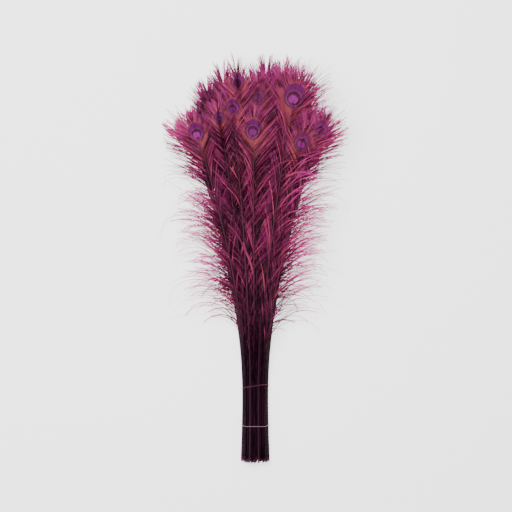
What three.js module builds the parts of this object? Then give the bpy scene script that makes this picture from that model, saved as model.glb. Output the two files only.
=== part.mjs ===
// A tied bundle of long dyed eyed feathers, lying on a table.
// Millimetres. The cut quill ends point to -Y, the eyes to +Y, and the bundle lies on Z = 0.
import * as THREE from "three";

// The bundle at its ties.
const QUILL_RADIUS = 2.2;
const QUILL_PITCH = 4.7;
const ROW_RISE = QUILL_PITCH * Math.sin(Math.PI / 3); // each row lies in the hollows of the row below
const QUILLS_IN_ROW = [12, 13, 12, 11, 10]; // from the table up
const CUT_ENDS_SPREAD = 9; // the cut ends are not quite level
const END_SPLAY = 0.09; // the free ends stand apart below the lower tie

// The ties.
const THREAD_RADIUS = 0.5;
const THREAD_GAP = 0.3;
const LOWER_TIE_Y = 85;
const UPPER_TIE_Y = 172;
const LOWER_TIE_SAG = 5;
const UPPER_TIE_BOW = 3.5;
const UPPER_TIE_TILT = 0.14;

// Where along the bundle things happen.
const FAN_START_Y = 185; // just above the upper tie
const VANE_START_Y = 345;
const PILE_START_Y = 425; // from here on each feather lies flat on its own level
const FAN_FULL_Y = 800;
const FAN_POWER = 1.6;

// The pile of feathers at the head.
const LEVEL_RISE_LOW = 1.6;
const LEVEL_RISE_HIGH = 2.1;
const WIDEST_FAN = 138;
const LOWEST_EYE_Y = 712;
const HEAD_TOP_Y = 838;
const HEAD_TOP_X = 5;
const HEAD_FALL = 33; // how much lower the outline is 100 mm to either side
const HEAD_DEPTH = 84;
const EYE_TO_TIP = 54;

// The feathers of the top row, from left to right: where the eye lies, and which lies over which.
const TOP_ROW = [
  { x: -131, y: 742, order: 7 },
  { x: -80, y: 773, order: 3 },
  { x: -50, y: 797, order: 6 },
  { x: -39, y: 854, order: 1 },
  { x: -4, y: 748, order: 8 },
  { x: 7, y: 822, order: 2 },
  { x: 70, y: 846, order: 0 },
  { x: 88, y: 822, order: 9 },
  { x: 105, y: 720, order: 5 },
  { x: 146, y: 748, order: 4 },
];

// A feather's own sizes. Its shaft is a hexagon with a flat top, so it is less high than wide.
const HEXAGON_HEIGHT = Math.sin(Math.PI / 3);
const FAN_SHAFT_RADIUS = 2;
const VANE_HALF_HEIGHT = 0.5;
const TIP_HALF_WIDTH = 0.4;

const FEATHER_COLOUR = 0x8c2a5c;
const THREAD_COLOUR = 0xe9dfe2;

const SIDES = 6; // corners of a feather's section
const STATION_COUNT = 12;
const THREAD_STEPS = 36;
const THREAD_SIDES = 5;

const random = seededRandom(7);
const bundle = new THREE.Group();
const feathers = layOutFeathers();
feathers.forEach((feather) => bundle.add(makeFeather(feather)));
bundle.add(makeTie("lower_tie", LOWER_TIE_Y, -LOWER_TIE_SAG, 0));
bundle.add(makeTie("upper_tie", UPPER_TIE_Y, UPPER_TIE_BOW, UPPER_TIE_TILT));
centreOnTable(bundle);

// A repeatable source of numbers from 0 to 1.
function seededRandom(seed) {
  let state = seed;
  return () => {
    state = (state * 1664525 + 1013904223) % 4294967296;
    return state / 4294967296;
  };
}

function mix(from, to, amount) {
  return from + (to - from) * amount;
}

function rowWidth() {
  return Math.max(...QUILLS_IN_ROW) * QUILL_PITCH;
}

// How far a feather has turned out of the bundle at this place: 0 at the tie, 1 at FAN_FULL_Y.
function fanAt(y) {
  return Math.pow(Math.max(0, (y - FAN_START_Y) / (FAN_FULL_Y - FAN_START_Y)), FAN_POWER);
}

// Each feather: its place in the bundle, its turn outward, its eye and its level in the pile.
function layOutFeathers() {
  const list = [];
  const lowestRowZ = 2 * THREAD_RADIUS + THREAD_GAP + QUILL_RADIUS;
  let levelsBelow = 0;
  QUILLS_IN_ROW.forEach((count, row) => {
    const isTopRow = row === QUILLS_IN_ROW.length - 1;
    for (let place = 0; place < count; place += 1) {
      const quillX = (place - (count - 1) / 2) * QUILL_PITCH;
      const eye = isTopRow ? TOP_ROW[place] : hiddenEye(place, count, row, quillX);
      list.push({
        name: `feather_${String(list.length + 1).padStart(2, "0")}`,
        quillX,
        quillZ: lowestRowZ + row * ROW_RISE,
        endY: random() * CUT_ENDS_SPREAD,
        eyeY: eye.y,
        turn: (eye.x - quillX) / fanAt(eye.y),
        level: levelsBelow + eye.order,
        breadth: mix(0.92, 1.08, random()),
      });
    }
    levelsBelow += count;
  });
  return list;
}

// The eye of a feather lower in the pile, under the rounded outline of the head.
function hiddenEye(place, count, row, quillX) {
  const spread = 2 * WIDEST_FAN / (count - 1);
  const turn = -WIDEST_FAN + spread * (place + 0.5 * (random() - 0.5));
  const sideways = quillX + turn - HEAD_TOP_X;
  const outline = HEAD_TOP_Y - HEAD_FALL * Math.pow(sideways / 100, 4);
  const y = Math.max(LOWEST_EYE_Y, outline - HEAD_DEPTH * random());
  const stride = row % 2 === 0 ? 5 : 7;
  return { x: quillX + turn * fanAt(y), y, order: (place * stride + count - 1) % count };
}

// Half the height of the shaft at this place.
function shaftHalfHeight(y) {
  if (y <= FAN_START_Y) {
    return mix(QUILL_RADIUS, FAN_SHAFT_RADIUS, y / FAN_START_Y) * HEXAGON_HEIGHT;
  }
  if (y <= VANE_START_Y) {
    const share = (y - FAN_START_Y) / (VANE_START_Y - FAN_START_Y);
    return mix(FAN_SHAFT_RADIUS * HEXAGON_HEIGHT, VANE_HALF_HEIGHT, share);
  }
  return VANE_HALF_HEIGHT;
}

// Half the width of the shaft at this place.
function shaftHalfWidth(y, tipY) {
  if (y <= FAN_START_Y) {
    return mix(QUILL_RADIUS, FAN_SHAFT_RADIUS, y / FAN_START_Y);
  }
  return mix(FAN_SHAFT_RADIUS, TIP_HALF_WIDTH, (y - FAN_START_Y) / (tipY - FAN_START_Y));
}

// Where the middle of the shaft is.
function shaftCentre(feather, y) {
  const splay = 1 + END_SPLAY * Math.pow(Math.max(0, 1 - y / LOWER_TIE_Y), 2);
  const settled = THREE.MathUtils.smoothstep(y, FAN_START_Y, PILE_START_Y);
  const opening = Math.max(0, (y - PILE_START_Y) / (FAN_FULL_Y - PILE_START_Y));
  const rise = mix(LEVEL_RISE_LOW, LEVEL_RISE_HIGH, opening);
  const pileZ = shaftHalfHeight(y) + feather.level * rise;
  return {
    x: feather.quillX * splay + feather.turn * fanAt(y),
    z: mix(feather.quillZ * splay, pileZ, settled),
  };
}

// The sections of a feather: where each is and how far its barbs reach on either side.
function stationsOf(feather) {
  const tipY = feather.eyeY + EYE_TO_TIP;
  const reach = (y, barbs) => ({ y, barbs: barbs * feather.breadth });
  return [
    reach(feather.endY, 0),
    reach(LOWER_TIE_Y, 0),
    reach(FAN_START_Y, 0),
    reach(245, 0),
    reach(305, 0),
    reach(VANE_START_Y, 0),
    reach(385, 58),
    reach(PILE_START_Y, 92),
    reach(feather.eyeY - 150, 84),
    reach(feather.eyeY - 30, 66),
    reach(feather.eyeY + 32, 42),
    reach(tipY, 2),
  ];
}

// A feather is one solid: a round quill that flattens into a shaft with a thin vane on both sides.
function makeFeather(feather) {
  const stations = stationsOf(feather);
  const tipY = feather.eyeY + EYE_TO_TIP;
  const geometry = new THREE.CylinderGeometry(1, 1, STATION_COUNT - 1, SIDES, STATION_COUNT - 1);
  const position = geometry.attributes.position;
  const corner = new THREE.Vector3();
  for (let i = 0; i < position.count; i += 1) {
    corner.fromBufferAttribute(position, i);
    const station = stations[Math.round(corner.y + (STATION_COUNT - 1) / 2)];
    const centre = shaftCentre(feather, station.y);
    const halfWidth = shaftHalfWidth(station.y, tipY);
    const halfHeight = shaftHalfHeight(station.y);
    const isMiddle = Math.hypot(corner.x, corner.z) < 0.5;
    const isEdge = !isMiddle && Math.abs(corner.x) < 0.1;
    const side = Math.sign(Math.round(corner.z * 10));
    const upper = -Math.sign(Math.round(corner.x * 10));
    let x = side * halfWidth / 2;
    let z = upper * halfHeight;
    if (isEdge) {
      x = side * Math.max(halfWidth, station.barbs);
      z = station.barbs > 0 ? -halfHeight : 0;
    }
    if (isMiddle) {
      x = 0;
      z = 0;
    }
    position.setXYZ(i, centre.x + x, station.y, centre.z + z);
  }
  geometry.computeVertexNormals();
  const material = new THREE.MeshStandardMaterial({ color: FEATHER_COLOUR, roughness: 0.75, metalness: 0 });
  const mesh = new THREE.Mesh(geometry, material);
  mesh.name = feather.name;
  return mesh;
}

// The line that a thread takes round the quills, in the plane across the bundle.
function lineRoundQuills(angle) {
  const towards = new THREE.Vector2(Math.cos(angle), Math.sin(angle));
  const places = feathers.map((feather) => new THREE.Vector2(feather.quillX, feather.quillZ));
  const outermost = places.reduce((best, place) => (place.dot(towards) > best.dot(towards) ? place : best));
  const reach = QUILL_RADIUS + THREAD_GAP + THREAD_RADIUS;
  return outermost.clone().addScaledVector(towards, reach);
}

// A closed loop of thread round the whole bundle. bow is how far its middle stands off its ends,
// and tilt is its rise for each millimetre across.
function makeTie(name, y, bow, tilt) {
  const geometry = new THREE.TorusGeometry(1, 0.2, THREAD_SIDES, THREAD_STEPS);
  const position = geometry.attributes.position;
  const corner = new THREE.Vector3();
  for (let i = 0; i < position.count; i += 1) {
    corner.fromBufferAttribute(position, i);
    const angle = Math.atan2(corner.y, corner.x);
    const out = (Math.hypot(corner.x, corner.y) - 1) / 0.2;
    const along = corner.z / 0.2;
    const line = lineRoundQuills(angle);
    const across = THREE.MathUtils.clamp(2 * line.x / rowWidth(), -1, 1);
    const offSquare = bow * (1 - across * across) + tilt * line.x;
    position.setXYZ(
      i,
      line.x + Math.cos(angle) * out * THREAD_RADIUS,
      y + offSquare - along * THREAD_RADIUS,
      line.y + Math.sin(angle) * out * THREAD_RADIUS,
    );
  }
  geometry.computeVertexNormals();
  const material = new THREE.MeshStandardMaterial({ color: THREAD_COLOUR, roughness: 0.9, metalness: 0 });
  const mesh = new THREE.Mesh(geometry, material);
  mesh.name = name;
  return mesh;
}

// The origin is on the table, under the middle of the bundle.
function centreOnTable(group) {
  const box = new THREE.Box3().setFromObject(group);
  const middle = box.getCenter(new THREE.Vector3());
  group.position.set(-middle.x, -middle.y, -box.min.z);
  group.updateMatrixWorld(true);
}

export default bundle;
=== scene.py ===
"""A tied bundle of long dyed eyed feathers that lies on a table.

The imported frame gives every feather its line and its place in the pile, and the two ties their shape. This
script gives each feather its round shaft, its loose and close barbs and its eye, and the ties their cotton.
"""

import math

import bmesh
import bpy
import numpy as np
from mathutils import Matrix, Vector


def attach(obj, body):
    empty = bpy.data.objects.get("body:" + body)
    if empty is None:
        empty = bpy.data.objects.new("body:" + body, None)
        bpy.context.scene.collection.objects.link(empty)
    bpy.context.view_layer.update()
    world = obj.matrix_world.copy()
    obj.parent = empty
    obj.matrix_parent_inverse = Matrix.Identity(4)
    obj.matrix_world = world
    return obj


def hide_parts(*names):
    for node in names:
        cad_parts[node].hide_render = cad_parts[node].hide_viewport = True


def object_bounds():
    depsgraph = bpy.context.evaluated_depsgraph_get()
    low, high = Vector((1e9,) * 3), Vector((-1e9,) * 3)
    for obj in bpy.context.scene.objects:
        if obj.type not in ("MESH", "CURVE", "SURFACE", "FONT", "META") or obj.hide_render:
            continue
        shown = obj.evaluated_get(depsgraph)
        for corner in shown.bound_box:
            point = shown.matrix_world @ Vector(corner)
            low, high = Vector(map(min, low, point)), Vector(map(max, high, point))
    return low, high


bl_info = {
    "name": "Feather Bundle",
    "version": (1, 0, 0),
    "blender": (4, 5, 0),
    "location": "3D View > Sidebar > Feathers",
    "description": "Makes a tied bundle of dyed eyed feathers round a packed frame",
    "category": "Add Mesh",
}

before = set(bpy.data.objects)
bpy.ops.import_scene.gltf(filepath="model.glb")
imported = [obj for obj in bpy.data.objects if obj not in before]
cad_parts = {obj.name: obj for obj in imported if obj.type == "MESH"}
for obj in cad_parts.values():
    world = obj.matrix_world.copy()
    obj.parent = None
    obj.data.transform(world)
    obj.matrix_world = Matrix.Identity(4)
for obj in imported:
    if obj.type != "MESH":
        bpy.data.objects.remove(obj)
CAD_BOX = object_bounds()

MM = 0.001
FEATHER_NODES = sorted(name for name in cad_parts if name.startswith("feather_"))
EYE_TO_TIP = 54.0  # how far the eye's middle lies below the tip of a packed feather
CLOSE_ABOVE_EYE = 14.0  # the shaft and its barbs end this far above the eye's middle

# Feathers whose eyes lie uncovered: the size of each eye against the usual one, how bright its heart
# is and how plainly its rings show, from 0 to 1, and how far its barbs stand up, in millimetres.
SHOWN_EYES = {
    "feather_49": (0.92, 1.0, 1.0, 3.0),
    "feather_50": (0.64, 0.15, 0.95, 18.0),
    "feather_51": (0.8, 0.4, 1.0, 7.0),
    "feather_52": (0.8, 0.0, 0.95, 20.0),
    "feather_53": (0.98, 0.6, 1.0, 2.0),
    "feather_54": (0.9, 0.3, 0.7, 7.0),
    "feather_55": (0.85, 0.3, 0.4, 2.0),
    "feather_56": (1.24, 1.0, 1.0, 1.0),
    "feather_57": (0.98, 0.9, 0.85, 10.0),
    "feather_58": (0.9, 0.2, 0.95, 12.0),
}
HIDDEN_EYE = (0.85, 0.2, 0.3, 0.0)

# Where barbs grow, in millimetres, and how many.
SPARSE_STRETCH = 170.0  # the lowest barbs grow thinly over this length
EDGE_X = -12.0  # fewer loose barbs grow where the shaft is this far out, or more, on the barb's own side
NECK_TOP = 15.0  # the head narrows from this far below the eyes
NECK_END = 190.0  # to this far below them
HIDDEN_THINNING = 1.8  # covered feathers have wider gaps between their loose barbs
HIDDEN_CLOSE_THINNING = 1.15
SHOWN_CLOSE_THINNING = 0.9
LOCK_SIZES = (1, 5)  # barbs in a lock: at least the first number on one side, and fewer than the second
LOW_IN_PILE = 45.0  # feathers that lie lower than this have broader barbs, so no table shows through

# How barbs sweep, in degrees: their turn away from the shaft at the root, and their bend by the tip.
LOOSE_TURN = 17.0  # for the lowest barbs
TURN_GAINED_UP = 11.0  # further up the feather
CLOSE_TURN = 3.0  # for the last barbs beside the tip
TURN_GAINED_DOWN = 34.0  # beside the eye
LOOSE_BEND = 118.0  # for the lowest barbs
BEND_LOST_UP = 82.0  # further up the feather
OUTER_BEND = 16.0  # at the outside of the bundle
CLOSE_BEND = 8.0

# How firmly the barbs of a lock hold together, from 0 to 1.
LOOSE_HOLD = 0.96
TIP_HOLD = 0.1
SHOWN_EYE_HOLD = 0.3
HIDDEN_EYE_HOLD = 0.46

STRAY_BREADTH = 0.62  # how broad a stray barb is against the rest

# The room that barbs have, in millimetres.
TABLE_GAP = 0.1  # nothing lies lower than this over the table
LOWEST_BARB = 0.35  # the middle of a barb stays above this
ABOVE_CAD = 10.0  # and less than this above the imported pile
PAST_CAD = 18.0  # and less than this past the side of it
EASING = 36.0  # barbs that reach too far are held back over this length
PARTING_X = -22.0  # where barbs part to either side, at the middle of the bundle's length
PARTING_LEAN = 0.13

FAR_BELOW_EYE = -9.0  # a place in the eye's map that none of its colours reach

BARB_SIDES = 3
BARB_STEPS = 6
STEPS = np.linspace(0, 1, BARB_STEPS + 1)  # where a barb's sections are, from its root to its tip
SHAFT_SIDES = 8
SHAFT_STEPS = 44
BAKE_COLUMNS = 8  # the bake map holds the barbs in cells, this many side by side
BAKE_BARB_SHARE = 0.9  # the rest of its height holds the shaft

# The stage, in metres.
LAMP_PLACE = (-0.6, 0.7, 2.3)
LAMP_SIZE = 2.2
FLOOR_HALF = 6.0
FLOOR_DROP = 0.0005
CAMERA_Y = 0.012


# ---------------------------------------------------------------- settings


class FeatherShape(bpy.types.PropertyGroup):
    """Sizes that all feathers share, in millimetres."""

    eye_radius: bpy.props.FloatProperty(
        name="Eye radius", description="Half the breadth of a usual eye's violet oval", default=20.0, min=5.0
    )
    barbs_start: bpy.props.FloatProperty(
        name="Barbs start", description="How far up from the cut ends the first barbs grow", default=228.0
    )
    loose_spacing: bpy.props.FloatProperty(
        name="Loose spacing", description="From one loose barb to the next on the same side", default=2.5
    )
    close_spacing: bpy.props.FloatProperty(
        name="Close spacing", description="From one eye barb to the next on the same side", default=0.85
    )
    close_reach: bpy.props.FloatProperty(
        name="Close reach", description="How far below the eye the close barbs begin", default=95.0
    )
    loose_length: bpy.props.FloatProperty(
        name="Loose length", description="Length of a usual loose barb", default=150.0
    )
    close_length: bpy.props.FloatProperty(
        name="Close length", description="Length of a usual barb beside the eye", default=74.0
    )
    loose_width: bpy.props.FloatProperty(
        name="Loose width", description="Breadth of a loose barb near its root", default=1.0
    )
    close_width: bpy.props.FloatProperty(
        name="Close width", description="Breadth of a barb where it crosses the eye", default=1.9
    )


class FeatherColours(bpy.types.PropertyGroup):
    """Colours of the dyed feathers."""

    def colour(label, text, value):
        return bpy.props.FloatVectorProperty(
            name=label, description=text, subtype="COLOR", size=3, min=0, max=1, default=value
        )

    quill: colour("Quill", "The bare quills at the cut end", (0.004, 0.0003, 0.002))
    quill_pale: colour("Quill pale", "The paler quills among the rest", (0.05, 0.018, 0.034))
    quill_streak: colour("Quill streak", "Streaks along the quills", (0.05, 0.006, 0.028))
    shaft: colour("Shaft", "The shafts among the barbs", (0.11, 0.03, 0.06))
    cut_end: colour("Cut end", "The cut ends of the quills", (0.2, 0.06, 0.13))
    barb_dark: colour("Barb dark", "The darkest barbs, and all of them at the shaft", (0.01, 0.0008, 0.005))
    barb_middle: colour("Barb middle", "Barbs half way along", (0.26, 0.027, 0.1))
    barb_tip: colour("Barb tip", "The wispy ends of the barbs", (0.56, 0.045, 0.27))
    # Rose is partly the barbs' own warmer tone and partly a painted sheen highlight, given to some locks at
    # random.
    rose: colour("Rose", "The warmer barbs among the rest", (0.52, 0.066, 0.13))
    bronze: colour("Bronze", "The warm ring round the eye", (0.27, 0.048, 0.05))
    violet: colour("Violet", "The broad dark oval of the eye", (0.1, 0.003, 0.085))
    ring: colour("Ring", "The pale ring inside the violet", (0.17, 0.055, 0.09))
    crescent: colour("Crescent", "The dark crescent above the heart", (0.06, 0.004, 0.035))
    heart: colour("Heart", "The bright middle of the eye", (0.27, 0.023, 0.2))


class TieLook(bpy.types.PropertyGroup):
    """Colours of the two thread ties."""

    lower: bpy.props.FloatVectorProperty(
        name="Lower tie", description="The plain cotton of the lower tie", subtype="COLOR", size=3,
        min=0, max=1, default=(0.34, 0.22, 0.27),
    )
    upper: bpy.props.FloatVectorProperty(
        name="Upper tie", description="The upper tie, stained by the dye", subtype="COLOR", size=3,
        min=0, max=1, default=(0.17, 0.045, 0.085),
    )


class StageLook(bpy.types.PropertyGroup):
    """Floor, light and camera."""

    floor: bpy.props.FloatVectorProperty(
        name="Floor", description="Colour of the floor", subtype="COLOR", size=3, min=0, max=1,
        default=(0.95, 0.95, 0.95),
    )
    sky: bpy.props.FloatProperty(name="Sky", description="Strength of the even light all round", default=0.6)
    lamp: bpy.props.FloatProperty(
        name="Lamp", description="Power of the broad overhead lamp", default=110.0, unit="POWER"
    )
    glow: bpy.props.FloatProperty(
        name="Glow", description="Light that comes through the floor, as from a light table", default=1.5
    )
    camera_height: bpy.props.FloatProperty(
        name="Camera height", description="Height of the camera over the table", default=8.0, unit="LENGTH"
    )
    frame_height: bpy.props.FloatProperty(
        name="Frame height", description="Length of table that the camera takes in", default=1.155,
        unit="LENGTH",
    )


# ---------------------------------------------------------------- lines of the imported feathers


class Line:
    """The line of one packed feather: its middle and its reach at each of its sections."""

    def __init__(self, name):
        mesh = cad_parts[name].data
        points = np.array([v.co for v in mesh.vertices]) / MM
        points = points[np.argsort(points[:, 1])]
        breaks = np.nonzero(np.diff(points[:, 1]) > 1.0)[0] + 1
        sections = np.split(points, breaks)
        self.y = np.array([s[:, 1].mean() for s in sections])
        low = np.array([s.min(axis=0) for s in sections])
        high = np.array([s.max(axis=0) for s in sections])
        self.middle = (low + high) / 2
        self.half = (high - low) / 2
        self.eye_y = self.y[-1] - EYE_TO_TIP
        self.pile_height = self.middle[-2, 2]  # over the table, beside the eye

    def at(self, y):
        """Points on the middle of the shaft."""
        y = np.asarray(y, float)
        x = smooth_through(self.y, self.middle[:, 0], y)
        z = smooth_through(self.y, self.middle[:, 2], y)
        return np.stack([x, y, z], axis=-1)

    def direction(self, y):
        """Unit vectors along the shaft, in the plane of the table."""
        ahead = self.at(np.asarray(y) + 2.0) - self.at(np.asarray(y) - 2.0)
        ahead[..., 2] = 0
        return ahead / np.linalg.norm(ahead, axis=-1, keepdims=True)


def smooth_through(places, values, wanted):
    """A smooth curve through the values, with an even slope at each place."""
    slopes = np.gradient(values, places)
    wanted = np.asarray(wanted, float)
    i = np.clip(np.searchsorted(places, wanted) - 1, 0, len(places) - 2)
    gap = places[i + 1] - places[i]
    t = np.clip((wanted - places[i]) / gap, 0, None)
    t2 = t * t
    t3 = t2 * t
    start = (2 * t3 - 3 * t2 + 1) * values[i] + (t3 - 2 * t2 + t) * gap * slopes[i]
    end = (3 * t2 - 2 * t3) * values[i + 1] + (t3 - t2) * gap * slopes[i + 1]
    return start + end


LINES = {name: Line(name) for name in FEATHER_NODES}
PILE_TOP = CAD_BOX[1][2] / MM
WIDEST = CAD_BOX[1][0] / MM + PAST_CAD  # no barb reaches further sideways


def parting(y):
    """Where barbs part to the left and to the right: a line that leans left towards the head."""
    return PARTING_X - PARTING_LEAN * y


def fan_reach(y, side):
    """How far the fan of shafts reaches from the parting at each place, on the given side."""
    reach = np.array([side * (line.at(y)[:, 0] - parting(y)) for line in LINES.values()])
    return reach.max(axis=0)


def held_within(values, limit):
    """Values eased back so that none lies further out than the limit."""
    free = limit - EASING
    over = np.maximum(np.abs(values) - free, 0)
    return np.sign(values) * (np.minimum(np.abs(values), free) + EASING * np.tanh(over / EASING))


# ---------------------------------------------------------------- mesh helpers


def tube_template(sides, steps):
    """A closed tube of unit radius from Z 0 to Z 1, cut across into equal lengths."""
    bm = bmesh.new()
    bmesh.ops.create_cone(bm, cap_ends=True, segments=sides, radius1=1, radius2=1, depth=1)
    bmesh.ops.translate(bm, verts=bm.verts, vec=(0, 0, 0.5))
    long_edges = [e for e in bm.edges if abs(e.verts[0].co.z - e.verts[1].co.z) > 0.5]
    bmesh.ops.subdivide_edges(bm, edges=long_edges, cuts=steps - 1)
    mesh = bpy.data.meshes.new("tube")
    bm.to_mesh(mesh)
    bm.free()
    return mesh


def template_facts(mesh, sides, steps):
    """For a tube's vertices: step along and angle round. For its corners: how far along and round."""
    co = np.array([v.co for v in mesh.vertices])
    step = np.rint(co[:, 2] * steps).astype(int)
    angle = np.arctan2(co[:, 1], co[:, 0])
    along = []
    around = []
    for face in mesh.polygons:
        corners = [mesh.loops[i].vertex_index for i in face.loop_indices]
        if len({step[v] for v in corners}) == 1:
            # An end face takes a small patch beside the end of the strip.
            inward = 0.03 if step[corners[0]] == 0 else -0.03
            base = step[corners[0]] / steps
            turns = angle[corners] / math.tau
            along += list(base + inward * (0.5 + 0.5 * np.cos(turns * math.tau)))
            around += list(0.5 + 0.4 * np.sin(turns * math.tau))
            continue
        turns = (angle[corners] / math.tau) % 1.0
        if turns.max() - turns.min() > 0.5:
            turns[turns < 0.5] += 1.0
        first = turns.min()
        base = round((first % 1.0) * sides) / sides
        along += list(step[corners] / steps)
        around += list(base + (turns - first))
    around = np.array(around)
    around -= math.floor(around.min() * sides + 1e-6) / sides
    return step, angle, np.array(along), np.clip(around, 0, 1)


def repeated(mesh, count):
    """The mesh joined in a row, count times."""
    obj = bpy.data.objects.new("row", mesh)
    bpy.context.scene.collection.objects.link(obj)
    row = obj.modifiers.new("Row", "ARRAY")
    row.fit_type = "FIXED_COUNT"
    row.count = count
    row.use_relative_offset = False
    row.use_constant_offset = True
    row.constant_offset_displace = (3, 0, 0)
    graph = bpy.context.evaluated_depsgraph_get()
    joined = bpy.data.meshes.new_from_object(obj.evaluated_get(graph))
    bpy.data.objects.remove(obj)
    return joined


def write_points(mesh, points):
    mesh.vertices.foreach_set("co", (points * MM).astype(np.float32).ravel())
    mesh.update()


def write_map(mesh, name, u, v):
    layer = mesh.uv_layers.new(name=name)
    layer.data.foreach_set("uv", np.stack([u, v], axis=-1).astype(np.float32).ravel())


def inset(values, margin):
    """Values from 0 to 1, drawn in by the margin at both ends."""
    return margin + (1 - 2 * margin) * values


def add_piece(name, meshes, materials, replaced):
    """One finished piece from several meshes, each with its own material."""
    objects = []
    for mesh, material in zip(meshes, materials, strict=True):
        obj = bpy.data.objects.new(name, mesh)
        bpy.context.scene.collection.objects.link(obj)
        mesh.materials.clear()
        mesh.materials.append(material)
        objects.append(obj)
    piece = objects[0]
    with bpy.context.temp_override(
        active_object=piece, object=piece, selected_objects=objects, selected_editable_objects=objects
    ):
        bpy.ops.object.join()
    piece.name = name
    piece.data.name = name
    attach(piece, "root")
    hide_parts(*replaced)
    return piece


# ---------------------------------------------------------------- barbs


def ramp(values, start, span):
    """0 up to the start, 1 from the end of the span, and an even rise between."""
    return np.clip((values - start) / span, 0, 1)


def blend(first, second, share):
    """The first value where the share is 0, the second where it is 1."""
    return first * (1 - share) + second * share


def outward_share(line, y, side):
    """How near a shaft lies to the outside of the fan: 0 at the parting, 1 outside, below 0 past it."""
    return side * (line.at(y)[:, 0] - parting(y)) / fan_reach(y, side)


def in_neck(share, below):
    """The share, kept only in the neck: the stretch below the eyes where the head narrows."""
    return share * ramp(below, NECK_TOP, 20) * ramp(NECK_END - below, 0, 60)


def barb_roots(line, shape, shown, rng):
    """Where barbs leave the shaft, from the first loose one to the last beside the tip."""
    thin = 1.0 if shown else HIDDEN_THINNING
    close_thin = SHOWN_CLOSE_THINNING if shown else HIDDEN_CLOSE_THINNING
    close_from = line.eye_y - shape.close_reach
    start = line.y[0] + shape.barbs_start + rng.uniform(-8, 22)
    loose = np.arange(start, close_from, shape.loose_spacing * thin)
    close = np.arange(close_from, line.eye_y + CLOSE_ABOVE_EYE, shape.close_spacing * close_thin)
    y = np.repeat(np.concatenate([loose, close]), 2)
    side = np.tile([-1.0, 1.0], len(y) // 2)
    grows = rng.random(len(y)) < 0.15 + (y - start) / SPARSE_STRETCH

    # Few barbs reach out past the shafts: along the wisps, and again in the neck.
    at_edge = (side * line.at(y)[:, 0] > EDGE_X) & (y < close_from)
    edge_share = np.clip(0.14 + (y - start) / 420.0, 0, 1) * (0.95 if shown else 0.6)
    edge_share = np.where(side > 0, 0.75 * edge_share, edge_share)
    grows &= ~at_edge | (rng.random(len(y)) < edge_share)
    neck_side = in_neck(ramp(outward_share(line, y, side), 0.4, 0.25), line.eye_y - y)
    grows &= rng.random(len(y)) < 1 - 0.86 * neck_side
    return y[grows], side[grows]


def locks_of(count, side, rng):
    """The lock that each barb belongs to: a few neighbours on one side of the shaft."""
    sizes = rng.integers(*LOCK_SIZES, count)
    edges = np.cumsum(sizes)
    return np.searchsorted(edges, np.arange(count) // 2, side="right") * 2 + (side > 0)


class Barbs:
    """The barbs of one feather: where each leaves the shaft, and what it shares with its neighbours."""

    def __init__(self, line, shape, shown, rng):
        self.line = line
        self.shape = shape
        self.shown = shown
        roots, self.side = barb_roots(line, shape, shown, rng)
        self.count = len(roots)
        self.y = roots + rng.uniform(-0.6, 0.6, self.count)
        self.below = line.eye_y - self.y
        outward = outward_share(line, self.y, self.side)

        # Shares from 0 to 1: close beside the eye and not loose, up from the lowest barbs, down from the
        # tip, at the outside of the bundle, and pointing back over the parting.
        self.close = 1 - ramp(self.below, shape.close_reach * 0.55, 70.0)
        self.up = ramp(self.y - line.y[0], shape.barbs_start, 220.0)
        self.down = ramp(self.below + CLOSE_ABOVE_EYE, -2, 48.0)
        self.outer = ramp(outward, 0.35, 0.35)
        self.inward = ramp(-outward, 0, 0.3) * (1 - self.close)

        # Barbs hold together in locks: neighbours on one side share their sweep and their shade.
        self.lock = locks_of(self.count, self.side, rng)
        self.lock_count = int(self.lock.max()) + 1
        self.lock_turn = self.for_locks(rng.normal, 0, 1)
        self.lock_bend = self.for_locks(rng.normal, 0, 1)
        self.lock_lift = self.for_locks(rng.normal, 0, 1)
        self.lock_tint = self.for_locks(rng.random)
        self.lock_reach = self.for_locks(rng.uniform, 0.78, 1.12)
        # Low on the feather, many locks hug the shaft.
        self.hugging = (self.for_locks(rng.random) < 0.8 - 2.6 * self.up) & (self.close < 0.1)

    def for_locks(self, draw, *limits):
        """One random value for each lock, given to all its barbs."""
        return draw(*limits, self.lock_count)[self.lock]


def barb_lengths(barbs, scale, rng):
    """The length of every barb, before any strays."""
    shape = barbs.shape
    shortest = 0.75 if barbs.shown else 1.08
    loose_length = shape.loose_length * (1.15 - 0.37 * barbs.up)
    close_length = shape.close_length * (0.1 + 0.9 * scale) * (shortest + (1 - shortest) * barbs.down)
    length = blend(loose_length, close_length, barbs.close)
    unevenness = 1 + barbs.close if barbs.shown else 1.0
    length = length * barbs.lock_reach**unevenness * rng.uniform(0.9, 1.05, barbs.count)
    length = np.where(barbs.hugging, length * 0.55, length) * (1 - 0.2 * barbs.inward)
    if not barbs.shown:
        length = length * (0.68 + 0.32 * np.maximum(barbs.outer, barbs.close))
    return length


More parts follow.
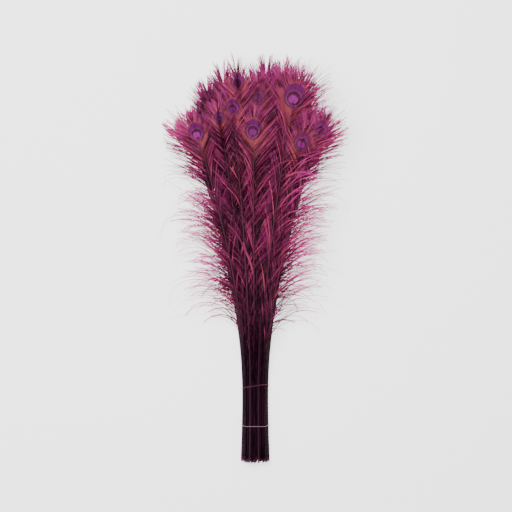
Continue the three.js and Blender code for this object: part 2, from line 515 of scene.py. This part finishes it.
def barb_sweep(barbs, scale, rng):
    """Every barb's turn at its root and bend by its tip, in degrees, its length, and which ones stray."""
    count, close, outer = barbs.count, barbs.close, barbs.outer
    loose_turn = LOOSE_TURN + TURN_GAINED_UP * barbs.up + 5.0 * barbs.lock_turn + rng.normal(0, 1.2, count)
    close_turn = CLOSE_TURN + TURN_GAINED_DOWN * barbs.down + rng.normal(0, 2.0, count)
    turn = blend(loose_turn, close_turn, close) * (1 - 0.6 * barbs.inward)
    turn = np.where(barbs.hugging, rng.uniform(2, 8, count), turn)
    loose_bend = LOOSE_BEND - BEND_LOST_UP * barbs.up**0.6 + 20 * barbs.lock_bend + rng.normal(0, 6, count)
    close_bend = CLOSE_BEND + rng.normal(0, 4, count)
    loose_bend = loose_bend + OUTER_BEND * outer * np.minimum(1, 3 * barbs.up)
    bend = blend(loose_bend, close_bend, close) * (1 - 0.7 * barbs.inward)
    bend = np.where(barbs.hugging, rng.uniform(4, 26, count), bend)
    length = barb_lengths(barbs, scale, rng)

    # A few barbs stray from the rest: longer, thinner and more bowed. In the neck the other barbs are
    # short, so the head narrows towards the wisps.
    neck = in_neck(outer, barbs.below)
    near_tip = close * outer * (1 - barbs.down)
    stray_share = 0.05 + 0.14 * close * outer + 0.14 * neck + 0.12 * near_tip
    stray = (rng.random(count) < stray_share) & ~barbs.hugging
    length = np.where(stray, length, length * (1 - 0.33 * neck))
    stretch = (0.35 + 0.2 * outer * close) * np.maximum(barbs.down, 0.65 * outer * close)
    length = np.where(stray, length * (1.1 + stretch * rng.random(count)), length)
    turn = np.where(stray, turn + rng.normal(6, 8, count) * (1 - 0.7 * close), turn)
    turn = np.where(stray, turn + rng.uniform(-4, 16, count) * close * outer, turn)
    turn = np.where(stray, turn + rng.uniform(8, 34, count) * (1 - barbs.down) * outer, turn)
    bend = np.where(stray, bend + rng.uniform(-10, 70, count) * (1 - close), bend)
    return turn, bend, length, stray


def barb_curves(barbs, turn, bend, length, stand, rng):
    """The middle line of every barb on its own: its sweep across, its rise, its droop and its sway."""
    line, count, close = barbs.line, barbs.count, barbs.close
    unevenness = blend(3.0, 1.0 if barbs.shown else 4.0, close)
    lift = 2.0 + unevenness * barbs.lock_lift + rng.normal(0, 0.7, count)
    droop = blend(barbs.for_locks(rng.uniform, 2, 18), rng.uniform(0, 3, count), close)

    mid = (STEPS[1:] + STEPS[:-1]) / 2
    angle = np.radians(turn[:, None] + bend[:, None] * mid[None, :] ** 1.5)
    ahead = line.direction(barbs.y)
    aside = np.stack([ahead[:, 1], -ahead[:, 0], np.zeros(count)], axis=-1) * barbs.side[:, None]
    piece_length = (length / BARB_STEPS)[:, None, None]
    forwards = np.cos(angle)[..., None] * ahead[:, None]
    sideways = np.sin(angle)[..., None] * aside[:, None]
    moves = piece_length * (forwards + sideways)
    path = np.concatenate([np.zeros((count, 1, 3)), np.cumsum(moves, axis=1)], axis=1)
    path += line.at(barbs.y)[:, None]

    sway = barbs.for_locks(rng.normal, 0, 2.0)[:, None] + rng.normal(0, 0.8, (count, 1))
    sway = sway * np.sin(STEPS[None, :] * barbs.for_locks(rng.uniform, 3, 7)[:, None])
    path += (sway * (1 - 0.7 * close[:, None]))[..., None] * ahead[:, None]
    rise = length[:, None] * np.sin(np.radians(lift))[:, None] * STEPS[None, :]
    path[..., 2] += rise - droop[:, None] * STEPS[None, :] ** 2
    near_eye = 1 - ramp(barbs.below, 45, 60.0)
    path[..., 2] += stand * near_eye[:, None] * np.minimum(1, 4 * STEPS[None, :])
    return path


def gathered(barbs, path, stray, rng):
    """The lines with each lock drawn together, and parted a little again at its tips."""
    sums = np.zeros((barbs.lock_count, BARB_STEPS + 1, 3))
    np.add.at(sums, barbs.lock, path)
    numbers = np.bincount(barbs.lock, minlength=barbs.lock_count)[:, None, None]
    centres = (sums / np.maximum(numbers, 1))[barbs.lock]
    eye_hold = SHOWN_EYE_HOLD if barbs.shown else HIDDEN_EYE_HOLD
    hold = blend(LOOSE_HOLD, blend(TIP_HOLD, eye_hold, barbs.down), barbs.close)
    hold = np.where(stray, 0.0, hold)
    if not barbs.shown:
        hold = hold * (0.7 + 0.3 * barbs.outer)
    gather = STEPS[None, :] ** (0.32 + 1.4 * barbs.close[:, None]) * (1 - 0.3 * STEPS[None, :] ** 3)
    pull = (hold * rng.uniform(0.85, 1.05, barbs.count))[:, None] * gather
    path = path + (centres - path) * pull[..., None]
    path[..., 0] = held_within(path[..., 0], WIDEST)
    path[..., 2] = np.clip(path[..., 2], LOWEST_BARB, PILE_TOP + ABOVE_CAD)
    return path


def barb_breadths(barbs, flat, stray):
    """The breadth of every barb near its root, and the share of it that is lost by the tip."""
    shape, close, outer = barbs.shape, barbs.close, barbs.outer
    broad = 1.0 if barbs.shown else 2.4 - 1.4 * outer * (1 - close)
    if barbs.line.pile_height < LOW_IN_PILE:
        broad = broad + 2.0 * (1 - outer) * ramp(barbs.below, 30, 30)
    width = blend(shape.loose_width, shape.close_width, flat) * broad
    width = width * (1 + 0.3 * outer * (1 - close))
    width = np.where(stray, width * STRAY_BREADTH, width)
    thinning = 0.45 + (0.4 if barbs.shown else 0.3) * flat - 0.15 * outer * (1 - flat)
    return width, np.where(stray, 0.4, thinning)


def barb_tints(barbs, rng):
    """The tone of every barb, from dark to rose: alike within a lock, and darker where it is covered, as
    painted shade.
    """
    tint = np.clip(0.8 * barbs.lock_tint + 0.2 * rng.random(barbs.count), 0, 1)
    # Painted shade: the barbs of covered feathers are darkened, least at the outside of the bundle.
    if not barbs.shown:
        tint = tint * (0.6 + 0.4 * barbs.outer)
    tint = np.where(barbs.hugging, 0.5 + 0.45 * tint, tint)
    # Beside the eye every other lock is a little darker, so that the locks can be told apart.
    return tint * (1 - 0.2 * barbs.close * (barbs.lock // 2 % 2))


def barb_sections(path, width, thinning, flat, rng):
    """Across each line and square to it: unit vectors and half breadths at every step."""
    tangent = np.gradient(path, axis=1)
    tangent /= np.linalg.norm(tangent, axis=-1, keepdims=True)
    up = np.array([0.0, 0.0, 1.0])
    across = np.cross(tangent, up)
    across /= np.maximum(np.linalg.norm(across, axis=-1, keepdims=True), 1e-6)
    normal = np.cross(across, tangent)
    roll = (rng.normal(0, 0.5, len(path)) * (1 - 0.8 * flat))[:, None, None]
    across, normal = (
        across * np.cos(roll) + normal * np.sin(roll),
        normal * np.cos(roll) - across * np.sin(roll),
    )
    taper = 1 - thinning[:, None] * STEPS[None, :] ** (2 - 0.5 * flat[:, None])
    taper[:, 0] = 0.55
    half_width = 0.5 * width[:, None] * taper
    half_height = 0.42 * half_width * (1 - 0.45 * flat[:, None])
    return across, normal, half_width, half_height


def barb_mesh(line, shape, shown, eye_facts, rng):
    """All barbs of one feather as one mesh, with the maps that its colours read."""
    scale, heart, rings, stand = eye_facts
    barbs = Barbs(line, shape, shown, rng)
    turn, bend, length, stray = barb_sweep(barbs, scale, rng)
    path = barb_curves(barbs, turn, bend, length, stand, rng)
    path = gathered(barbs, path, stray, rng)
    flat = 1 - ramp(np.abs(barbs.below - 12), 0, 75.0)
    width, thinning = barb_breadths(barbs, flat, stray)
    tint = barb_tints(barbs, rng)
    across, normal, half_width, half_height = barb_sections(path, width, thinning, flat, rng)

    count = barbs.count
    template = tube_template(BARB_SIDES, BARB_STEPS)
    step, angle, along, around = template_facts(template, BARB_SIDES, BARB_STEPS)
    mesh = repeated(template, count)
    points = path[:, step] + across[:, step] * (half_width[:, step] * np.sin(angle)[None, :])[..., None]
    points = points + normal[:, step] * (half_height[:, step] * np.cos(angle)[None, :])[..., None]
    points[..., 2] = np.maximum(points[..., 2], TABLE_GAP)
    write_points(mesh, points.reshape(-1, 3))

    corners = len(along)
    vertex_of = np.array([loop.vertex_index for loop in template.loops])
    write_map(mesh, "Barb", np.tile(along, count), np.repeat(tint, corners))

    # The eye's map counts from the eye's middle in radii of its violet oval, a little raggedly.
    ahead = line.direction(line.eye_y)
    aside = np.array([ahead[1], -ahead[0], 0])
    offset = points - line.at(line.eye_y)
    radius = shape.eye_radius * scale
    local_x = offset @ aside / radius
    local_y = offset @ ahead / radius + rng.normal(0, 0.035, (count, 1))
    write_map(mesh, "Feather", local_x[:, vertex_of].ravel(), local_y[:, vertex_of].ravel())
    write_map(mesh, "Eye", np.full(corners * count, heart), np.full(corners * count, rings))
    write_map(mesh, "Edge", np.repeat(barbs.outer, corners), np.zeros(corners * count))

    rows = math.ceil(count / BAKE_COLUMNS)
    cell = np.repeat(np.arange(count), corners)
    u = (cell % BAKE_COLUMNS + inset(np.tile(along, count), 0.03)) / BAKE_COLUMNS
    v = (cell // BAKE_COLUMNS + inset(np.tile(around, count), 0.05)) / rows * BAKE_BARB_SHARE
    write_map(mesh, "OFBake", u, v)
    bpy.data.meshes.remove(template)
    return mesh


def shaft_mesh(line, rng):
    """The round quill and shaft, from its cut end to its thin tip."""
    mesh = tube_template(SHAFT_SIDES, SHAFT_STEPS)
    step, angle, along, around = template_facts(mesh, SHAFT_SIDES, SHAFT_STEPS)
    y = np.linspace(line.y[0], line.eye_y + CLOSE_ABOVE_EYE, SHAFT_STEPS + 1)
    centre = line.at(y)
    base = line.half[1, 0]
    share = (y - y[0]) / (y[-1] - y[0])
    radius = base * (1 - 0.8 * share**0.9)
    radius[-1] *= 0.5
    x = centre[step, 0] + radius[step] * np.cos(angle)
    z = centre[step, 2] + radius[step] * np.sin(angle)
    slant = np.where(step == 0, rng.normal(0, 0.5) * np.cos(angle) * base, 0)
    points = np.stack([x, y[step] + slant, np.maximum(z, TABLE_GAP)], axis=-1)
    write_points(mesh, points)
    nothing = np.zeros(len(along))
    write_map(mesh, "Barb", along, np.full(len(along), rng.random()))
    write_map(mesh, "Feather", nothing, np.full(len(along), FAR_BELOW_EYE))
    write_map(mesh, "Eye", nothing, nothing)
    write_map(mesh, "Edge", nothing, nothing)
    v = BAKE_BARB_SHARE + (1 - BAKE_BARB_SHARE) * inset(around, 0.1)
    write_map(mesh, "OFBake", inset(along, 0.01), v)
    for face in mesh.polygons:
        face.use_smooth = True
    return mesh


# ---------------------------------------------------------------- materials


class Shader:
    """A material's node tree, built a node at a time."""

    def __init__(self, name):
        self.material = bpy.data.materials.new(name)
        self.material.use_nodes = True
        self.tree = self.material.node_tree
        self.surface = self.tree.nodes["Principled BSDF"]

    def set(self, socket, value):
        """Gives a socket a fixed value or the output of another node."""
        if isinstance(value, bpy.types.NodeSocket):
            self.tree.links.new(value, socket)
        elif socket.type == "RGBA" and len(value) == 3:
            socket.default_value = (*value, 1)
        else:
            socket.default_value = value

    def node(self, kind, inputs=(), **options):
        made = self.tree.nodes.new(kind)
        for key, value in options.items():
            setattr(made, key, value)
        for key, value in dict(inputs).items():
            self.set(made.inputs[key], value)
        return made

    def uv(self, name):
        """The two values that a map holds."""
        place = self.node("ShaderNodeUVMap", uv_map=name).outputs[0]
        parts = self.node("ShaderNodeSeparateXYZ", {0: place}).outputs
        return parts[0], parts[1]

    def math(self, operation, a, b=0.0):
        return self.node("ShaderNodeMath", {0: a, 1: b}, operation=operation).outputs[0]

    def fade(self, value, start, end, low=1.0, high=0.0):
        """low before start, high after end, and a smooth change between."""
        inputs = {"Value": value, "From Min": start, "From Max": end, "To Min": low, "To Max": high}
        made = self.node("ShaderNodeMapRange", inputs, interpolation_type="SMOOTHSTEP")
        return made.outputs["Result"]

    def mix(self, amount, a, b):
        made = self.node("ShaderNodeMix", {0: amount}, data_type="RGBA")
        self.set(made.inputs[6], a)
        self.set(made.inputs[7], b)
        return made.outputs[2]

    def noise(self, vector, scale, detail=2.0):
        made = self.node("ShaderNodeTexNoise", {"Scale": scale, "Detail": detail})
        self.set(made.inputs["Vector"], vector)
        return made.outputs["Fac"]


def oval(shader, x, y, centre, half):
    """Distance from an oval's middle, 1 on its edge."""
    dx = shader.math("DIVIDE", shader.math("SUBTRACT", x, centre[0]), half[0])
    dy = shader.math("DIVIDE", shader.math("SUBTRACT", y, centre[1]), half[1])
    squares = shader.math("ADD", shader.math("MULTIPLY", dx, dx), shader.math("MULTIPLY", dy, dy))
    return shader.math("SQRT", squares)


def loose_colour(s, colours, along, tint, outer, y):
    """Loose barbs: dark inside the bundle as painted shade, brighter towards their tips, and lighter at its
    outside as painted light shining through the thin barbs.
    """
    # Painted light: at the outside of the bundle, barbs are lightened towards their tips as if lit through.
    # Inside it they stay dark as painted shade.
    painted_edge_light = s.math("MULTIPLY", s.fade(outer, 0, 1, 0, 0.8), s.fade(along, 0.2, 0.7, 0, 1))
    painted_edge_light = s.math("MULTIPLY", painted_edge_light, s.fade(y, -7, -4, 1, 0.15))
    lit = s.math("MAXIMUM", s.fade(tint, 0.3, 0.7, 0, 1), painted_edge_light)
    colour = s.mix(lit, colours.barb_dark, colours.barb_middle)
    # Rose locks: partly a warmer tone of their own, partly a painted sheen highlight.
    colour = s.mix(s.fade(tint, 0.72, 0.9, 0, 0.85), colour, colours.rose)
    colour = s.mix(s.fade(along, 0.0, 0.3, 1, 0), colour, colours.barb_dark)
    tip = s.math("MULTIPLY", s.fade(along, 0.4, 0.85, 0, 1), s.fade(y, -6.5, -3.5, 1, 0.2))
    # Painted light: the tips are lighter at the outside of the bundle than inside it.
    tip = s.math("MULTIPLY", tip, s.fade(outer, 0, 0.8, 0.25, 1))
    return s.mix(tip, colour, colours.barb_tip)


def close_colour(s, colours, along, tint):
    """Close barbs: each lock its own tone, from dark to rose, the rose partly a painted sheen highlight."""
    colour = s.mix(s.fade(tint, 0.15, 0.6, 0, 1), colours.barb_dark, colours.barb_middle)
    # Rose locks: partly a warmer tone of their own, partly a painted sheen highlight.
    colour = s.mix(s.fade(tint, 0.6, 0.95, 0, 0.8), colour, colours.rose)
    return s.mix(s.fade(along, 0.75, 1.0, 0, 0.4), colour, colours.barb_tip)


def bronze_amount(s, tint, x, y):
    """The warm ring round the eye, and the warm wedge below it."""
    warm_ring = oval(s, x, y, (0, -0.2), (1.3, 1.48))
    ring = s.math("MULTIPLY", s.fade(warm_ring, 0.85, 1.2, 0.95, 0), s.fade(tint, 0, 1, 0.6, 1))
    spread = s.math("ABSOLUTE", s.math("DIVIDE", x, s.fade(y, -4.2, -0.6, 0.2, 1.15)))
    wedge = s.math("MULTIPLY", s.fade(spread, 0.3, 1.15, 0.9, 0), s.fade(y, -4.4, -1.6, 0, 1))
    wedge = s.math("MULTIPLY", wedge, s.fade(y, -0.9, -0.2, 1, 0))
    wedge = s.math("MULTIPLY", wedge, s.fade(tint, 0.1, 0.9, 0.2, 0.9))
    return s.math("MAXIMUM", ring, wedge)


def with_eye(s, colours, colour, tint, x, y):
    """The colour with the eye laid over it, ring by ring from the outside in."""
    heart_shows, rings_show = s.uv("Eye")
    colour = s.mix(s.math("MULTIPLY", bronze_amount(s, tint, x, y), rings_show), colour, colours.bronze)
    violet = oval(s, x, y, (0, 0), (1.0, 1.17))
    violet_amount = s.math("MULTIPLY", s.fade(violet, 0.93, 1.03), s.fade(tint, 0, 1, 0.86, 1))
    colour = s.mix(s.math("MULTIPLY", violet_amount, rings_show), colour, colours.violet)
    ring = oval(s, x, y, (-0.05, -0.24), (0.73, 0.75))
    colour = s.mix(s.math("MULTIPLY", s.fade(ring, 0.92, 1.02), rings_show), colour, colours.ring)
    crescent = oval(s, x, y, (-0.05, -0.23), (0.65, 0.68))
    colour = s.mix(s.math("MULTIPLY", s.fade(crescent, 0.9, 1.02), rings_show), colour, colours.crescent)
    heart = oval(s, x, y, (-0.08, -0.36), (0.5, 0.45))
    notch = oval(s, x, y, (-0.02, -0.84), (0.13, 0.24))
    heart_mask = s.math("MULTIPLY", s.fade(heart, 0.7, 1.05), s.fade(notch, 0.8, 1.2, 0, 1))
    heart_mask = s.math("MULTIPLY", heart_mask, s.fade(tint, 0, 1, 0.7, 1))
    return s.mix(s.math("MULTIPLY", heart_mask, heart_shows), colour, colours.heart)


def barb_material(colours):
    """Dyed barbs: dark at the shaft, bright at the tips, with the eye's rings across them."""
    s = Shader("dyed_barbs")
    along, tint = s.uv("Barb")
    x, y = s.uv("Feather")
    outer = s.uv("Edge")[0]
    near = oval(s, x, y, (0, -0.2), (2.9, 3.1))
    beside_eye = s.math("MULTIPLY", s.fade(near, 0.5, 1.0, 1, 0), 0.85)
    loose = loose_colour(s, colours, along, tint, outer, y)
    colour = s.mix(beside_eye, loose, close_colour(s, colours, along, tint))
    above = s.math("MULTIPLY", s.fade(y, 1.1, 2.3, 0, 1), s.fade(along, 0.4, 0.95, 0, 0.38))
    colour = s.mix(above, colour, colours.barb_tip)
    s.set(s.surface.inputs["Base Color"], with_eye(s, colours, colour, tint, x, y))
    s.set(s.surface.inputs["Roughness"], s.fade(tint, 0, 1, 0.42, 0.6))
    s.surface.inputs["Specular IOR Level"].default_value = 0.06
    s.surface.inputs["Subsurface Weight"].default_value = 0.4
    s.surface.inputs["Subsurface Radius"].default_value = (1.0, 0.2, 0.45)
    s.surface.inputs["Subsurface Scale"].default_value = 0.0012
    return s.material


def quill_material(colours):
    """Dyed quills: almost black, with long paler streaks and a dull polish."""
    s = Shader("dyed_quill")
    along, tint = s.uv("Barb")
    where = s.node("ShaderNodeTexCoord").outputs["Object"]
    stretched = s.node("ShaderNodeMapping", {"Vector": where, "Scale": (1.0, 0.03, 1.0)}).outputs[0]
    streak = s.noise(stretched, 520.0, 4.0)
    amount = s.math("MULTIPLY", s.fade(streak, 0.42, 0.72, 0, 0.9), s.fade(tint, 0, 1, 0.5, 1.0))
    colour = s.mix(s.fade(tint, 0.45, 1.0, 0, 0.75), colours.quill, colours.quill_pale)
    colour = s.mix(amount, colour, colours.quill_streak)
    colour = s.mix(s.fade(along, 0.3, 0.6, 0, 0.8), colour, colours.shaft)
    cut_end = s.math("MULTIPLY", s.fade(along, 0.002, 0.012), s.fade(tint, 0.2, 0.8, 0.15, 0.9))
    colour = s.mix(cut_end, colour, colours.cut_end)
    s.set(s.surface.inputs["Base Color"], colour)
    s.set(s.surface.inputs["Roughness"], s.fade(streak, 0.3, 0.7, 0.34, 0.55))
    s.surface.inputs["Specular IOR Level"].default_value = 0.04
    bump = s.node("ShaderNodeBump", {"Height": streak, "Strength": 0.35, "Distance": 0.0004})
    s.set(s.surface.inputs["Normal"], bump.outputs[0])
    return s.material


def thread_material(name, dye):
    """Cotton thread with its fibres and an uneven stain."""
    s = Shader(name)
    where = s.node("ShaderNodeTexCoord").outputs["Object"]
    fibre = s.noise(where, 1800.0, 3.0)
    dark = tuple(c * f for c, f in zip(dye, (0.7, 0.4, 0.5), strict=True))
    colour = s.mix(s.fade(s.noise(where, 60.0), 0.4, 0.65, 0, 0.5), tuple(dye), dark)
    colour = s.mix(s.fade(fibre, 0.35, 0.7, 0, 0.3), colour, dark)
    s.set(s.surface.inputs["Base Color"], colour)
    s.set(s.surface.inputs["Roughness"], s.fade(fibre, 0.3, 0.7, 0.7, 0.95))
    bump = s.node("ShaderNodeBump", {"Height": fibre, "Strength": 0.5, "Distance": 0.0003})
    s.set(s.surface.inputs["Normal"], bump.outputs[0])
    return s.material


# ---------------------------------------------------------------- operators


class FEATHERS_OT_feathers(bpy.types.Operator):
    """Make every feather of the bundle."""

    bl_idname = "feathers.feathers"
    bl_label = "Make feathers"

    def execute(self, context):
        shape = context.scene.feather_shape
        colours = context.scene.feather_colours
        materials = [quill_material(colours), barb_material(colours)]
        for number, name in enumerate(FEATHER_NODES):
            rng = np.random.default_rng(1000 + number)
            shown = name in SHOWN_EYES
            eye_facts = SHOWN_EYES.get(name, HIDDEN_EYE)
            line = LINES[name]
            meshes = [shaft_mesh(line, rng), barb_mesh(line, shape, shown, eye_facts, rng)]
            piece_name = name.replace("feather_", "eyed_feather_")
            add_piece(piece_name, meshes, materials, [name])
        return {"FINISHED"}


class FEATHERS_OT_ties(bpy.types.Operator):
    """Give the two thread ties their cotton finish."""

    bl_idname = "feathers.ties"
    bl_label = "Make ties"

    def execute(self, context):
        look = context.scene.tie_look
        for name, dye in (("lower_tie", look.lower), ("upper_tie", look.upper)):
            material = thread_material(f"cotton_{name}", dye)
            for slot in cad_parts[name].material_slots:
                slot.material = material
        return {"FINISHED"}


class FEATHERS_OT_stage(bpy.types.Operator):
    """Make the floor, the light and the camera that looks down."""

    bl_idname = "feathers.stage"
    bl_label = "Make stage"

    def execute(self, context):
        look = context.scene.stage_look
        bm = bmesh.new()
        bmesh.ops.create_grid(bm, x_segments=1, y_segments=1, size=FLOOR_HALF)
        bmesh.ops.translate(bm, verts=bm.verts, vec=(0, 0, -FLOOR_DROP))
        mesh = bpy.data.meshes.new("floor")
        bm.to_mesh(mesh)
        bm.free()
        floor = bpy.data.objects.new("floor", mesh)
        context.scene.collection.objects.link(floor)
        paint = Shader("floor_paint")
        paint.set(paint.surface.inputs["Base Color"], tuple(look.floor))
        paint.surface.inputs["Roughness"].default_value = 0.9
        paint.surface.inputs["Emission Color"].default_value = (1, 1, 1, 1)
        paint.surface.inputs["Emission Strength"].default_value = look.glow
        mesh.materials.append(paint.material)

        world = bpy.data.worlds.new("sky")
        world.use_nodes = True
        background = world.node_tree.nodes["Background"]
        background.inputs["Color"].default_value = (1, 1, 1, 1)
        background.inputs["Strength"].default_value = look.sky
        context.scene.world = world

        lamp_data = bpy.data.lights.new("broad_lamp", "AREA")
        lamp_data.shape = "DISK"
        lamp_data.size = LAMP_SIZE
        lamp_data.energy = look.lamp
        lamp = bpy.data.objects.new("broad_lamp", lamp_data)
        lamp.location = LAMP_PLACE
        aim = -lamp.location.normalized()
        lamp.rotation_euler = aim.to_track_quat("-Z", "Y").to_euler()
        context.scene.collection.objects.link(lamp)

        camera_data = bpy.data.cameras.new("camera")
        camera_data.lens = camera_data.sensor_width * look.camera_height / look.frame_height
        camera_data.clip_end = 50
        camera = bpy.data.objects.new("camera", camera_data)
        camera.location = (0.0, CAMERA_Y, look.camera_height)
        context.scene.collection.objects.link(camera)
        context.scene.camera = camera
        return {"FINISHED"}


class FEATHERS_PT_panel(bpy.types.Panel):
    """The settings and the steps, in the order they run."""

    bl_label = "Feather Bundle"
    bl_space_type = "VIEW_3D"
    bl_region_type = "UI"
    bl_category = "Feathers"

    def draw(self, context):
        for group, operator in (
            ("feather_shape", "feathers.feathers"),
            ("feather_colours", None),
            ("tie_look", "feathers.ties"),
            ("stage_look", "feathers.stage"),
        ):
            box = self.layout.box()
            settings = getattr(context.scene, group)
            for key in settings.bl_rna.properties.keys():
                if key not in {"rna_type", "name"}:
                    box.prop(settings, key)
            if operator:
                box.operator(operator)


GROUPS = {
    "feather_shape": FeatherShape,
    "feather_colours": FeatherColours,
    "tie_look": TieLook,
    "stage_look": StageLook,
}
OPERATORS = (FEATHERS_OT_feathers, FEATHERS_OT_ties, FEATHERS_OT_stage)


def register():
    for cls in (*GROUPS.values(), *OPERATORS, FEATHERS_PT_panel):
        bpy.utils.register_class(cls)
    for name, group in GROUPS.items():
        setattr(bpy.types.Scene, name, bpy.props.PointerProperty(type=group))


def unregister():
    for name in GROUPS:
        delattr(bpy.types.Scene, name)
    for cls in reversed((*GROUPS.values(), *OPERATORS, FEATHERS_PT_panel)):
        bpy.utils.unregister_class(cls)


def main():
    register()
    bpy.ops.feathers.stage()
    bpy.ops.feathers.feathers()
    bpy.ops.feathers.ties()


if __name__ == "__main__":
    main()
